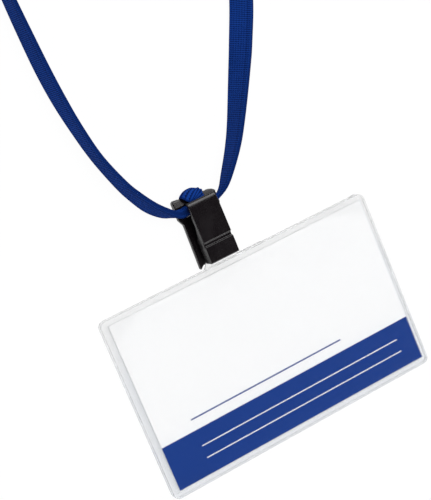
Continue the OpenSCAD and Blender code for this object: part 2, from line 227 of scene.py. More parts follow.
@dataclass(frozen=True)
class ClearStyrene(Finish):
    """Clear polystyrene, injection moulded and polished: bright edges and faint handling marks."""

    name: str = "clear_polystyrene_moulded"
    tint: str = "fdfdfd"
    ior: float = 1.52
    gloss_low: float = 0.02
    gloss_high: float = 0.07
    mark_size: float = 9.0
    mark_detail: float = 4.0
    marks_from: float = 0.35
    marks_to: float = 0.75
    ripple_size: float = 22.0
    ripple_depth: float = 0.01
    ripple_strength: float = 0.5
    # Keeps light from being caught in the thin walls
    body: float = 0.7

    def surface(self, add: AddNode) -> bpy.types.Node:
        """Adds clear plastic that lets lamp light through to the card.

        Args:
            add: Adds a node to the material's tree.

        Returns:
            The node that gives the surface.
        """
        place = add("ShaderNodeTexCoord").outputs["Object"]
        mark_scale, ripple_scale = 1 / (self.mark_size * MM), 1 / (self.ripple_size * MM)
        handled = {"Scale": mark_scale, "Detail": self.mark_detail}
        marks = add("ShaderNodeTexNoise", handled, {"Vector": place})
        span = {"From Min": self.marks_from, "From Max": self.marks_to}
        span |= {"To Min": self.gloss_low, "To Max": self.gloss_high}
        gloss = add("ShaderNodeMapRange", span, {"Value": marks})
        ripple = add("ShaderNodeTexNoise", {"Scale": ripple_scale, "Detail": 0.0}, {"Vector": place})
        waves = {"Strength": self.ripple_strength, "Distance": self.ripple_depth * MM}
        bump = add("ShaderNodeBump", waves, {"Height": ripple})
        tint = to_linear(self.tint)
        plastic = add(
            "ShaderNodeBsdfPrincipled",
            {"Base Color": tint, "IOR": self.ior, "Transmission Weight": 1.0, "Alpha": self.body},
            {"Roughness": gloss, "Normal": bump},
        )
        through = add("ShaderNodeBsdfTransparent", {"Color": tint})
        shadow = add("ShaderNodeLightPath").outputs["Is Shadow Ray"]
        return add("ShaderNodeMixShader", links={0: shadow, 1: plastic, 2: through})


@dataclass(frozen=True)
class PrintedCard(Finish):
    """Smooth white card, offset printed with a band and ruled lines: satin, with faint paper fibre."""

    name: str = "card_stock_offset_print"
    paper: str = "fafafa"
    ink: str = "20408a"
    cut_edge_and_shade: str = "dcdee1"
    # A face is a cut edge, painted greyer partly in the paper's own edge tone and partly as painted shade,
    # where the Z of its normal is under this
    edge_normal: float = 0.7
    ior: float = 1.5
    specular: float = 0.15
    roughness: float = 0.55
    fibre_size: float = 0.6
    fibre_detail: float = 3.0
    fibre_depth: float = 0.01
    fibre_strength: float = 0.4
    fibre_shade: float = 0.97
    band_top: float = -13.1
    rule_w: float = 0.45
    fine_rule_w: float = 0.3
    # Left end, right end and height of each line
    name_rule: Triple = (-33.0, 22.0, -9.6)
    fine_rules: tuple[Triple, ...] = ((-33.0, 40.0, -18.4), (-33.0, 40.0, -22.4))

    def surface(self, add: AddNode) -> bpy.types.Node:
        """Adds the card, with its print placed by the object's own coordinates.

        Args:
            add: Adds a node to the material's tree.

        Returns:
            The node that gives the surface.
        """
        place = add("ShaderNodeTexCoord").outputs["Object"]
        axes = add("ShaderNodeSeparateXYZ", links={0: place})
        ink = add("ShaderNodeMath", {1: self.band_top * MM}, {0: axes.outputs["Y"]}, operation="LESS_THAN")
        ink = self.ruled(add, axes, ink, self.name_rule, self.rule_w, Line.INKED)
        for rule in self.fine_rules:
            ink = self.ruled(add, axes, ink, rule, self.fine_rule_w, Line.BARE)
        colours = {MIX_A: to_linear(self.paper), MIX_B: to_linear(self.ink)}
        printed = add("ShaderNodeMix", colours, {0: ink}, data_type="RGBA")
        # Cut edges, found by their low normal, are painted greyer: partly the paper's own edge tone, partly
        # painted shade
        normal = add("ShaderNodeNewGeometry").outputs["True Normal"]
        facing = add("ShaderNodeSeparateXYZ", links={0: normal}).outputs["Z"]
        cut_edge_and_shade_mask = add("ShaderNodeMath", {1: 0.0, 2: self.edge_normal}, {0: facing}, operation="COMPARE")
        edged = add(
            "ShaderNodeMix", {MIX_B: to_linear(self.cut_edge_and_shade)}, {0: cut_edge_and_shade_mask, MIX_A: printed}, data_type="RGBA"
        )
        fibre, wash = mottled(add, self.fibre_size, self.fibre_detail, self.fibre_shade, 1.0)
        toned = add("ShaderNodeVectorMath", links={0: edged, "Scale": wash}, operation="SCALE")
        relief = {"Strength": self.fibre_strength, "Distance": self.fibre_depth * MM}
        bump = add("ShaderNodeBump", relief, {"Height": fibre})
        return add(
            "ShaderNodeBsdfPrincipled",
            {"IOR": self.ior, "Specular IOR Level": self.specular, "Roughness": self.roughness},
            {"Base Color": toned, "Normal": bump},
        )

    def ruled(
        self, add: AddNode, axes: bpy.types.Node, ink: bpy.types.Node, rule: Triple, width: float, line: Line
    ) -> bpy.types.Node:
        """Adds one ruled line to the share of ink.

        Args:
            add: Adds a node to the material's tree.
            axes: The node that holds the object's X and Y.
            ink: The share of ink so far.
            rule: Left end, right end and height of the line.
            width: Width of the line.
            line: Whether the line is printed or left bare.

        Returns:
            The new share of ink.
        """
        left, right, height = rule
        tall = {1: height * MM, 2: width / 2 * MM}
        long = {1: (left + right) / 2 * MM, 2: (right - left) / 2 * MM}
        in_height = add("ShaderNodeMath", tall, {0: axes.outputs["Y"]}, operation="COMPARE")
        in_length = add("ShaderNodeMath", long, {0: axes.outputs["X"]}, operation="COMPARE")
        inside = add("ShaderNodeMath", links={0: in_height, 1: in_length}, operation="MULTIPLY")
        return add("ShaderNodeMath", links={0: ink, 1: inside}, operation=line.value, use_clamp=True)


@dataclass(frozen=True)
class BlackAcetal(Finish):
    """Black acetal, injection moulded in a finely eroded tool: satin faces and brighter rubbed edges."""

    name: str = "black_acetal_moulded"
    colour: str = "0b080a"
    worn: str = "130e11"
    ior: float = 1.48
    specular: float = 0.3
    rough_low: float = 0.2
    rough_high: float = 0.32
    # The real grain is about 0.05 mm, drawn coarser so that it shows
    grain_size: float = 0.35
    grain_detail: float = 2.0
    grain_depth: float = 0.012
    grain_strength: float = 0.35
    wear_size: float = 5.0
    wear_detail: float = 5.0

    def surface(self, add: AddNode) -> bpy.types.Node:
        """Adds black plastic with moulded grain and uneven wear.

        Args:
            add: Adds a node to the material's tree.

        Returns:
            The node that gives the surface.
        """
        place = add("ShaderNodeTexCoord").outputs["Object"]
        eroded = {"Scale": 1 / (self.grain_size * MM), "Detail": self.grain_detail}
        grain = add("ShaderNodeTexNoise", eroded, {"Vector": place})
        wear, rough = mottled(add, self.wear_size, self.wear_detail, self.rough_low, self.rough_high)
        colours = {MIX_A: to_linear(self.colour), MIX_B: to_linear(self.worn)}
        shade = add("ShaderNodeMix", colours, {0: wear}, data_type="RGBA")
        relief = {"Strength": self.grain_strength, "Distance": self.grain_depth * MM}
        bump = add("ShaderNodeBump", relief, {"Height": grain})
        return add(
            "ShaderNodeBsdfPrincipled",
            {"IOR": self.ior, "Specular IOR Level": self.specular},
            {"Base Color": shade, "Roughness": rough, "Normal": bump},
        )


@dataclass(frozen=True)
class DrawnSteel(Finish):
    """Bright steel, cold drawn: metal with fine streaks along the wire."""

    name: str = "steel_cold_drawn"
    colour: str = "c4c4c6"
    rough_low: float = 0.22
    rough_high: float = 0.4
    streak_size: float = 0.3
    streak_detail: float = 3.0

    def surface(self, add: AddNode) -> bpy.types.Node:
        """Adds steel with streaked roughness.

        Args:
            add: Adds a node to the material's tree.

        Returns:
            The node that gives the surface.
        """
        _, rough = mottled(add, self.streak_size, self.streak_detail, self.rough_low, self.rough_high)
        base = {"Base Color": to_linear(self.colour), "Metallic": 1.0}
        return add("ShaderNodeBsdfPrincipled", base, {"Roughness": rough})


@dataclass(frozen=True)
class KnitPolyester(Finish):
    """Royal blue polyester tape, warp knitted: rows of V stitches, a soft sheen and a stitched groove, with
    painted shade in the knit's hollows, in the groove and along the edges.
    """

    name: str = "polyester_tape_knitted"
    thread: str = "143b8a"
    hollow_shade: str = "04103a"
    # Painted shade along the strap's edges
    edge: str = "0a2259"
    roughness: float = 0.85
    specular: float = 0.05
    sheen: float = 0.04
    sheen_roughness: float = 0.4
    stitch_l: float = 0.57
    stitch_lean: float = 0.35
    stitch_depth: float = 0.06
    stitch_strength: float = 0.9
    column_share: float = 0.35
    # Height of the knit from which the painted shade in its hollows begins to lighten
    hollow_height: float = 0.05
    # How much of the groove's painted shade shows on a stitch, and the height from which it does
    groove_on_stitch: float = 0.1
    stitch_height: float = 0.4
    # Columns on one face, and in columns the width of the painted shade along its edges and the groove's
    # place and half width
    columns: int = 9
    edge_shade_w: float = 0.55
    groove_at: float = 7.3
    groove_w: float = 0.35
    shade_size: float = 14.0
    shade_detail: float = 2.0
    shade_low: float = 0.88
    shade_high: float = 1.08

    def surface(self, add: AddNode) -> bpy.types.Node:
        """Adds the knit on the strap's own UV map: U in millimetres along it, V in knit columns.

        Args:
            add: Adds a node to the material's tree.

        Returns:
            The node that gives the surface.
        """
        axes = add("ShaderNodeSeparateXYZ", links={0: add("ShaderNodeUVMap", uv_map=STRAP_UV)})
        along, column = axes.outputs["X"], axes.outputs["Y"]
        # Half of a repeat is the most that a fold back and forth over it gives
        top = 0.5
        crown = add("ShaderNodeMath", {1: top}, {0: column}, operation="PINGPONG")
        row = add("ShaderNodeMath", {1: 1 / self.stitch_l}, {0: along}, operation="MULTIPLY")
        phase = add("ShaderNodeMath", {1: self.stitch_lean}, {0: crown, 2: row}, operation="MULTIPLY_ADD")
        stitch = add("ShaderNodeMath", {1: top}, {0: phase}, operation="PINGPONG")
        knob = {0: crown, 2: stitch}
        height = add("ShaderNodeMath", {1: self.column_share}, knob, operation="MULTIPLY_ADD")
        soft = {"interpolation_type": "SMOOTHSTEP"}
        lightening = {"From Min": self.hollow_height, "From Max": top}
        tone = add("ShaderNodeMapRange", lightening, {"Value": height}, **soft)
        # Painted shade: the knit's hollows are darker than its thread
        hollow_shade = to_linear(self.hollow_shade)
        colours = {MIX_A: hollow_shade, MIX_B: to_linear(self.thread)}
        knit = add("ShaderNodeMix", colours, {0: tone}, data_type="RGBA")
        # A face's two edges lie where V is a whole number of faces, and painted shade darkens the knit there
        inwards = add("ShaderNodeMath", {1: self.columns / 2}, {0: column}, operation="PINGPONG")
        fading = {"From Min": 0.0, "To Min": 1.0, "To Max": 0.0}
        rim = add("ShaderNodeMapRange", {**fading, "From Max": self.edge_shade_w}, {"Value": inwards}, **soft)
        edged = add("ShaderNodeMix", {MIX_B: to_linear(self.edge)}, {0: rim, MIX_A: knit}, data_type="RGBA")
        # The groove runs along one side and lies deepest between two stitches, where its painted shade is
        # strongest
        across = add("ShaderNodeMath", {1: self.columns}, {0: column}, operation="PINGPONG")
        beside = add("ShaderNodeMath", {1: self.groove_at}, {0: across}, operation="SUBTRACT")
        away = add("ShaderNodeMath", links={0: beside}, operation="ABSOLUTE")
        groove = add("ShaderNodeMapRange", {**fading, "From Max": 2 * self.groove_w}, {"Value": away}, **soft)
        filling = {"From Min": self.hollow_height, "From Max": self.stitch_height}
        filling |= {"To Min": 1.0, "To Max": self.groove_on_stitch}
        gap = add("ShaderNodeMapRange", filling, {"Value": stitch})
        groove_shade = add("ShaderNodeMath", links={0: groove, 1: gap}, operation="MULTIPLY")
        grooved = add("ShaderNodeMix", {MIX_B: hollow_shade}, {0: groove_shade, MIX_A: edged}, data_type="RGBA")
        _, level = mottled(add, self.shade_size, self.shade_detail, self.shade_low, self.shade_high)
        toned = add("ShaderNodeVectorMath", links={0: grooved, "Scale": level}, operation="SCALE")
        relief = {"Strength": self.stitch_strength, "Distance": self.stitch_depth * MM}
        bump = add("ShaderNodeBump", relief, {"Height": height})
        return add(
            "ShaderNodeBsdfPrincipled",
            {
                "Roughness": self.roughness,
                "Sheen Weight": self.sheen,
                "Sheen Roughness": self.sheen_roughness,
                "Sheen Tint": to_linear(self.thread),
                "Specular IOR Level": self.specular,
            },
            {"Base Color": toned, "Normal": bump},
        )


@dataclass(frozen=True)
class TieRubber(Finish):
    """Black silicone rubber band, moulded: matte, with a dusty bloom."""

    name: str = "silicone_rubber_moulded"
    colour: str = "191a1c"
    bloom: str = "2b2c2f"
    roughness: float = 0.62
    bloom_size: float = 1.6
    bloom_detail: float = 4.0

    def surface(self, add: AddNode) -> bpy.types.Node:
        """Adds rubber with a patchy bloom.

        Args:
            add: Adds a node to the material's tree.

        Returns:
            The node that gives the surface.
        """
        place = add("ShaderNodeTexCoord").outputs["Object"]
        dusty = {"Scale": 1 / (self.bloom_size * MM), "Detail": self.bloom_detail}
        patch = add("ShaderNodeTexNoise", dusty, {"Vector": place})
        colours = {MIX_A: to_linear(self.colour), MIX_B: to_linear(self.bloom)}
        shade = add("ShaderNodeMix", colours, {0: patch}, data_type="RGBA")
        return add("ShaderNodeBsdfPrincipled", {"Roughness": self.roughness}, {"Base Color": shade})


@dataclass(frozen=True)
class PaperSweep(Finish):
    """White background paper: it reads as plain white and keeps a soft shadow."""

    name: str = "background_paper"
    colour: str = "fafafa"
    glow: str = "ffffff"
    glow_share: float = 0.95
    # Less of it in mirrors and clear plastic, where the shadow beside the card shows
    mirrored_share: float = 0.74
    # There the glow is painted greyer too, as painted shade, up to the first Y, and white again from the
    # second one
    painted_shade_tone: str = "f0f3f7"
    dim_until: float = 8.0
    lit_from: float = 30.0

    def surface(self, add: AddNode) -> bpy.types.Node:
        """Adds paper that glows towards the camera, and less so to mirrors and clear plastic, where its glow
        is painted greyer towards low Y as painted shade.

        Args:
            add: Adds a node to the material's tree.

        Returns:
            The node that gives the surface.
        """
        rays = add("ShaderNodeLightPath").outputs
        seen = rays["Is Camera Ray"]
        axes = add("ShaderNodeSeparateXYZ", links={0: add("ShaderNodeNewGeometry").outputs["Position"]})
        # Painted shade: the glow that mirrors and clear plastic see darkens towards low Y
        span = {"From Min": self.dim_until * MM, "From Max": self.lit_from * MM}
        painted_light_ramp = add("ShaderNodeMapRange", span, {"Value": axes.outputs["Y"]})
        white = add("ShaderNodeMath", links={0: seen, 1: painted_light_ramp}, operation="MAXIMUM")
        colours = {MIX_A: to_linear(self.painted_shade_tone), MIX_B: to_linear(self.glow)}
        tone = add("ShaderNodeMix", colours, {0: white}, data_type="RGBA")
        glow = add("ShaderNodeEmission", {"Strength": 1.0}, {"Color": tone})
        other = {0: rays["Is Glossy Ray"], 1: rays["Is Transmission Ray"]}
        mirror = add("ShaderNodeMath", links=other, operation="MAXIMUM")
        mirrored = add("ShaderNodeMath", {1: self.mirrored_share}, {0: mirror}, operation="MULTIPLY")
        share = add("ShaderNodeMath", {1: self.glow_share}, {0: seen, 2: mirrored}, operation="MULTIPLY_ADD")
        paper = add("ShaderNodeBsdfDiffuse", {"Color": to_linear(self.colour)})
        return add("ShaderNodeMixShader", links={0: share, 1: paper, 2: glow})


FINISHES: dict[Slot, Finish] = {
    Slot.CASE: ClearStyrene(),
    Slot.CARD: PrintedCard(),
    Slot.CLIP: BlackAcetal(),
    Slot.STEEL: DrawnSteel(),
    Slot.STRAP: KnitPolyester(),
    Slot.TIE: TieRubber(),
}


@cache
def material_for(slot: Slot) -> bpy.types.Material:
    """Makes a slot's material when it is first asked for."""
    return FINISHES[slot].build()


def new_piece(name: str, mesh: bpy.types.Mesh) -> bpy.types.Object:
    """Links a mesh into the scene as an object at the origin.

    Args:
        name: The piece's name.
        mesh: Its mesh, already in place.

    Returns:
        The new object.
    """
    piece = bpy.data.objects.new(name, mesh)
    bpy.context.scene.collection.objects.link(piece)
    return piece


def baked(piece: bpy.types.Object) -> bpy.types.Mesh:
    """Turns a piece's modifiers into its plain mesh.

    Args:
        piece: The piece with its modifiers.

    Returns:
        Its new mesh.
    """
    graph = bpy.context.evaluated_depsgraph_get()
    mesh = bpy.data.meshes.new_from_object(piece.evaluated_get(graph))
    mesh.name = piece.name
    piece.modifiers.clear()
    piece.data = mesh
    return mesh


def make_plain(piece: bpy.types.Object, smooth_angle: float = SHARP_FROM) -> bpy.types.Object:
    """Turns a piece's modifiers into a plain mesh and smooths it up to an angle.

    Args:
        piece: The piece with its modifiers.
        smooth_angle: Edges sharper than this many degrees stay sharp.

    Returns:
        The same piece, with no modifier left.
    """
    mesh = baked(piece)
    mesh.shade_smooth()
    mesh.set_sharp_from_angle(angle=math.radians(smooth_angle))
    return piece


def lofted(name: str, rings: list[list[Triple]]) -> bpy.types.Object:
    """Makes a closed solid from level rings of corners.

    Args:
        name: The piece's name.
        rings: The rings from the lowest to the highest, counterclockwise, with equal counts.

    Returns:
        The new piece.
    """
    count = len(rings[0])
    verts = [(x * MM, y * MM, z * MM) for ring in rings for x, y, z in ring]
    faces = [tuple(reversed(range(count))), tuple(range(len(verts) - count, len(verts)))]
    for low in range(0, len(verts) - count, count):
        for i in range(count):
            j = (i + 1) % count
            faces.append((low + i, low + j, low + count + j, low + count + i))
    mesh = bpy.data.meshes.new(name)
    mesh.from_pydata(verts, [], faces)
    return make_plain(new_piece(name, mesh))


def slab(
    name: str, outline: list[Point], low: float, high: float, edge: float, steps: int = 4
) -> bpy.types.Object:
    """Makes a flat piece of even thickness with rounded edges.

    Args:
        name: The piece's name.
        outline: Its corners seen from above, counterclockwise.
        low: Height of its lower face.
        high: Height of its upper face.
        edge: Radius of the rounding, or 0 for sharp edges.
        steps: Steps across the rounding.

    Returns:
        The new piece.
    """
    piece = lofted(name, [[(x, y, z) for x, y in outline] for z in (low, high)])
    if edge:
        bevel = piece.modifiers.new("rounded_edges", "BEVEL")
        bevel.width = edge * MM
        bevel.segments = steps
        bevel.limit_method = "ANGLE"
        bevel.angle_limit = math.radians(ROUND_FROM)
        make_plain(piece)
    return piece


def plate_outline(width: float, height: float, radius: float, steps: int = 12) -> list[Point]:
    """Gives the outline of a plate with rounded corners, round the origin.

    Args:
        width: Its size along X.
        height: Its size along Y.
        radius: Radius of its corners.
        steps: Steps round each corner.

    Returns:
        Its points, counterclockwise.
    """
    corners = ((1, 1, 0), (-1, 1, 90), (-1, -1, 180), (1, -1, 270))
    return [
        (
            sx * (width / 2 - radius) + radius * math.cos(math.radians(start + 90 * i / steps)),
            sy * (height / 2 - radius) + radius * math.sin(math.radians(start + 90 * i / steps)),
        )
        for sx, sy, start in corners
        for i in range(steps + 1)
    ]


def rounding(radius: float, steps: int = 5) -> list[Point]:
    """Gives a quarter round from (radius, 0) to (0, radius) that touches both axes."""
    angles = [math.pi / 2 * i / steps for i in range(steps + 1)]
    return [(radius * (1 - math.sin(a)), radius * (1 - math.cos(a))) for a in angles]


def combine(piece: bpy.types.Object, tool: bpy.types.Object, join: Join) -> bpy.types.Object:
    """Adds a tool's solid to a piece or cuts it out, and removes the tool.

    Args:
        piece: The piece that stays.
        tool: The solid that is used up.
        join: Whether the tool is added or cut out.

    Returns:
        The same piece.
    """
    step = piece.modifiers.new("combined", "BOOLEAN")
    step.object = tool
    step.operation = join.value
    step.solver = "EXACT"
    make_plain(piece)
    bpy.data.objects.remove(tool)
    return piece


def leveled(piece: bpy.types.Object) -> bpy.types.Object:
    """Gives a piece normals that stay level on its large faces and turn only in its roundings.

    Args:
        piece: The piece, already a plain mesh.

    Returns:
        The same piece, with no modifier left.
    """
    step = piece.modifiers.new("level_faces", "WEIGHTED_NORMAL")
    step.weight = FACE_WEIGHT
    step.keep_sharp = True
    baked(piece)
    return piece


def moulded_copy(node: bpy.types.Object, name: str, grid: float, rounds: int) -> bpy.types.Object:
    """Copies a CAD node as a fine even skin with edges worn round, as on a small moulding.

    Args:
        node: The CAD node.
        name: Name of the new piece.
        grid: Size of the skin's faces.
        rounds: Smoothing rounds, each of which widens the rounding.

    Returns:
        The new piece.
    """
    mesh = node.data.copy()
    normals = mesh.attributes.get("custom_normal")
    if normals:
        mesh.attributes.remove(normals)
    piece = new_piece(name, mesh)
    skin = piece.modifiers.new("skin", "REMESH")
    skin.mode = "VOXEL"
    skin.voxel_size = grid * MM
    soft = piece.modifiers.new("soft_edges", "SMOOTH")
    soft.factor = 0.5
    soft.iterations = rounds
    return make_plain(piece, 180.0)


def dress(piece: bpy.types.Object, slot: Slot) -> None:
    """Gives a piece its finish.

    Args:
        piece: The piece, or a CAD node that stays in sight.
        slot: The record's slot for its finish.
    """
    piece.data.materials.clear()
    piece.data.materials.append(material_for(slot))
    log.info("%s: %d faces, %s", piece.name, len(piece.data.polygons), slot.value)


def settle(piece: bpy.types.Object, body: Body, slot: Slot, *nodes: str) -> None:
    """Gives a piece its finish, its body and the CAD nodes that it stands for.

    Args:
        piece: The finished piece.
        body: The body that it rides on.
        slot: The record's slot for its finish.
        *nodes: The CAD nodes that it replaces.
    """
    dress(piece, slot)
    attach(piece, body.value)
    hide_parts(*nodes)


@dataclass
class CardCase:
    """The clear case: a tray behind the card and a window in front of it."""

    clip: Vector
    width: float = 95.0
    height: float = 59.0
    corner: float = 2.0
    seam_z: float = 1.8
    front_z: float = 3.0
    edge: float = 0.42
    # Half of the hairline between the two shells
    seam: float = 0.02
    pocket_z: float = 1.0
    pocket_end: float = 46.4
    pocket_side: float = 27.8
    foot: float = 0.25
    lip: float = 0.5
    thumb_x: float = -16.5
    thumb_l: float = 26.0
    thumb_h: float = 13.0
    bead_y: float = 25.7
    bead_l: float = 83.4
    bead_w: float = 3.4
    bead_rise: float = 0.3
    bead_root: float = 0.4
    bead_edge: float = 0.15
    tab_low: float = 2.0
    tab_root: float = 12.6
    eye_r: float = 2.7
    hole_r: float = 1.5
    ridge_l: float = 21.5
    ridge_rise: float = 0.6
    nub_l: float = 3.0
    nub_rise: float = 0.5
    nub_from_end: float = 3.2
    # How far a solid reaches into or past the one that it joins or cuts
    overlap: float = 1.0
    # Steps round the eye and round each corner of the thumb slot, and across the bead
    arc_steps: int = 24
    bead_steps: int = 16

    def plate(self, name: str, low: float, high: float) -> bpy.types.Object:
        """Makes a plate of the case's outline with rounded rims.

        Args:
            name: The piece's name.
            low: Height of its lower face.
            high: Height of its upper face.

        Returns:
            The new piece.
        """
        rim = rounding(self.edge)
        sides = [(inset, low + rise) for inset, rise in rim]
        sides += [(inset, high - rise) for inset, rise in reversed(rim)]
        rings = []
        for inset, z in sides:
            outline = plate_outline(self.width - 2 * inset, self.height - 2 * inset, self.corner - inset)
            rings.append([(x, y, z) for x, y in outline])
        return lofted(name, rings)

    def pocket(self) -> bpy.types.Object:
        """Makes the hollow for the card, open at one end, with a round foot and a round lip to its wall.

        Returns:
            The hollow as a solid to cut out.
        """
        top = self.seam_z - self.seam
        sides = [(-inset, self.pocket_z + rise) for inset, rise in rounding(self.foot)]
        sides += [(rise, top - inset) for inset, rise in rounding(self.lip)]
        sides.append((self.lip, self.front_z))
        left, rings = -self.width / 2 - self.overlap, []
        for grow, z in sides:
            right, side = self.pocket_end + grow, self.pocket_side + grow
            rings.append([(left, -side, z), (right, -side, z), (right, side, z), (left, side, z)])
        return lofted("pocket", rings)

    def tray(self) -> bpy.types.Object:
        """Makes the back shell: a plate with the pocket and the thumb slot cut into it.

        Returns:
            The new piece.
        """
        shell = self.plate("case_back_shell", 0.0, self.seam_z - self.seam)
        combine(shell, self.pocket(), Join.CUT)
        slot = plate_outline(self.thumb_l, self.thumb_h, self.thumb_h / 2, self.arc_steps)
        slot = [(x + self.thumb_x, y) for x, y in slot]
        return combine(shell, slab("thumb_slot", slot, -self.overlap, self.front_z, 0.0), Join.CUT)

    def step(self, x: float, length: float, rise: float) -> bpy.types.Object:
        """Makes a low step with sloping ends on the upper edge.

        Args:
            x: Middle of the step.
            length: Its length at the foot.
            rise: How far it stands out.

        Returns:
            The step as a solid that reaches into the plate.
        """
        top, half, foot = self.height / 2, length / 2, self.height / 2 - self.overlap
        outline = [(x - half, foot), (x + half, foot), (x + half, top)]
        outline += [(x + half - 2 * rise, top + rise), (x - half + 2 * rise, top + rise), (x - half, top)]
        return slab("step", outline, self.tab_low, self.front_z - self.seam, self.edge / 2)

    def tab(self) -> bpy.types.Object:
        """Makes the eye on the upper edge that the clip's peg goes through.

        Returns:
            The eye as a solid that reaches into the plate.
        """
        x, y, half = self.clip.x / MM, self.clip.y / MM, self.tab_root / 2
        rise = y - self.height / 2
        foot = y - rise - self.overlap
        touch = math.acos(self.eye_r / math.hypot(half, rise)) - math.atan2(rise, half)
        sweep = math.pi - 2 * touch
        arc = [touch + sweep * i / self.arc_steps for i in range(self.arc_steps + 1)]
        outline = [(x - half, foot), (x + half, foot), (x + half, y - rise)]
        outline += [(x + self.eye_r * math.cos(a), y + self.eye_r * math.sin(a)) for a in arc]
        outline.append((x - half, y - rise))
        eye = slab("eye", outline, self.tab_low, self.front_z - self.seam, self.edge / 2)
        ring = plate_outline(2 * self.hole_r, 2 * self.hole_r, self.hole_r)[::2]
        hole = slab("hole", [(x + u, y + v) for u, v in ring], 0.0, self.front_z + self.overlap, 0.0)
        return combine(eye, hole, Join.CUT)

    def bead(self) -> bpy.types.Object:
        """Makes the low rounded bead along the upper part of the window.

        Returns:
            The bead as a solid that reaches into the plate.
        """
        half = self.bead_w / 2
        radius = (half**2 + self.bead_rise**2) / (2 * self.bead_rise)
        reach = math.asin(half / radius)
        arc = [reach * (1 - 2 * i / self.bead_steps) for i in range(self.bead_steps + 1)]
        middle = self.front_z + self.bead_rise - radius
        outline = [(self.bead_y + radius * math.sin(a), middle + radius * math.cos(a)) for a in arc]
        foot = self.front_z - self.bead_root
        outline += [(self.bead_y - half, foot), (self.bead_y + half, foot)]
        bar = slab("bead", outline, -self.bead_l / 2, self.bead_l / 2, self.bead_edge)
        # The section lies in Y and Z, and the bead runs along X
        bar.data.transform(Matrix(((0, 0, 1, 0), (1, 0, 0, 0), (0, 1, 0, 0), (0, 0, 0, 1))))
        return bar

    def window(self) -> bpy.types.Object:
        """Makes the front shell: a plate with its bead, its ridge and nub, and its eye.

        Returns:
            The new piece.
        """
        shell = self.plate("case_front_shell", self.seam_z + self.seam, self.front_z)
        ridge = self.step(0.0, self.ridge_l, self.ridge_rise)
        nub = self.step(self.width / 2 - self.nub_from_end, self.nub_l, self.nub_rise)
        for part in (self.bead(), ridge, nub, self.tab()):
            combine(shell, part, Join.ADD)
        return shell

    def build(self) -> None:
        """Makes both shells with a hairline seam between them."""
        settle(leveled(self.tray()), Body.CASE, Slot.CASE, "case_back")
        settle(leveled(self.window()), Body.CASE, Slot.CASE, "case_front")


@dataclass
class NameCard:
    """The printed card in the pocket."""

    edge: float = 0.06

    def build(self) -> None:
        """Makes the card with its guillotined edges just broken."""
        low, high = (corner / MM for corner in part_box("name_card"))
        outline = [(low.x, low.y), (high.x, low.y), (high.x, high.y), (low.x, high.y)]
        card = slab("card_sheet", outline, low.z, high.z, self.edge, 2)
        settle(leveled(card), Body.CARD, Slot.CARD, "name_card")


@dataclass
class ClipSpring:
    """The torsion spring: one wire along the base, round the pin and along the lever."""

    pivot: Vector
    low: Vector
    high: Vector
    wire_d: float = 0.5
    radius: float = 1.45
    turns: float = 3.5
    steps_per_turn: int = 24
    sides: int = 12
    squeezed: float = 0.84

    def route(self) -> list[Vector]:
        """Gives the wire's middle line.

        Returns:
            Its points in metres, from the lower leg to the upper one.
        """
        half = self.wire_d / 2 * MM
        first, last = self.low.x + half, self.high.x - half
        leg_y = self.high.y - half / 2
        count = round(self.turns * self.steps_per_turn)
        coil = []
        for i in range(count + 1):
            share = i / count
            angle = math.radians(-90 - 360 * self.turns * share)
            swing = Vector((0, math.cos(angle), math.sin(angle))) * self.radius * MM
            coil.append(Vector((first + (last - first) * share, self.pivot.y, self.pivot.z)) + swing)
        start = Vector((first, leg_y, self.low.z + half))
        end = Vector((last, leg_y, self.high.z - half))
        return [start, *coil, end]

    def tree(self) -> bpy.types.NodeTree:
        """Builds the node tree that lays a round wire along the route.

        Returns:
            The tree, with an input for the wire's radius.
        """
        tree = bpy.data.node_groups.new("wire_along_route", "GeometryNodeTree")
        tree.interface.new_socket("Geometry", in_out="INPUT", socket_type="NodeSocketGeometry")
        tree.interface.new_socket("Wire radius", in_out="INPUT", socket_type="NodeSocketFloat")
        tree.interface.new_socket("Geometry", in_out="OUTPUT", socket_type="NodeSocketGeometry")
        add = partial(add_node, tree)
        inlet = add("NodeGroupInput").outputs
        line = add("GeometryNodeMeshToCurve", links={"Mesh": inlet["Geometry"]})
        ring = add(
            "GeometryNodeCurvePrimitiveCircle", {"Resolution": self.sides}, {"Radius": inlet["Wire radius"]}
        )
        wire = add("GeometryNodeCurveToMesh", {"Fill Caps": True}, {"Curve": line, "Profile Curve": ring})
        whole = add("GeometryNodeRealizeInstances", links={"Geometry": wire})
        steel = {"Material": material_for(Slot.STEEL)}
        dressed = add("GeometryNodeSetMaterial", steel, {"Geometry": whole})
        add("NodeGroupOutput", links={"Geometry": dressed})
        return tree

    def build(self) -> None:
        """Makes the spring wire along its route, on the clip's body."""
        points = self.route()
        mesh = bpy.data.meshes.new("spring_wire")
        mesh.from_pydata(points, [(i, i + 1) for i in range(len(points) - 1)], [])
        spring = new_piece("spring_wire", mesh)
        laid = spring.modifiers.new("wire", "NODES")
        laid.node_group = self.tree()
        inputs = (item for item in laid.node_group.interface.items_tree if item.in_out == "INPUT")
        sockets = {item.name: item.identifier for item in inputs}
        laid[sockets["Wire radius"]] = self.wire_d / 2 * MM
        make_plain(spring, WIRE_SHARP_FROM)
        settle(spring, Body.CLIP, Slot.STEEL, "clip_spring")
        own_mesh(spring)


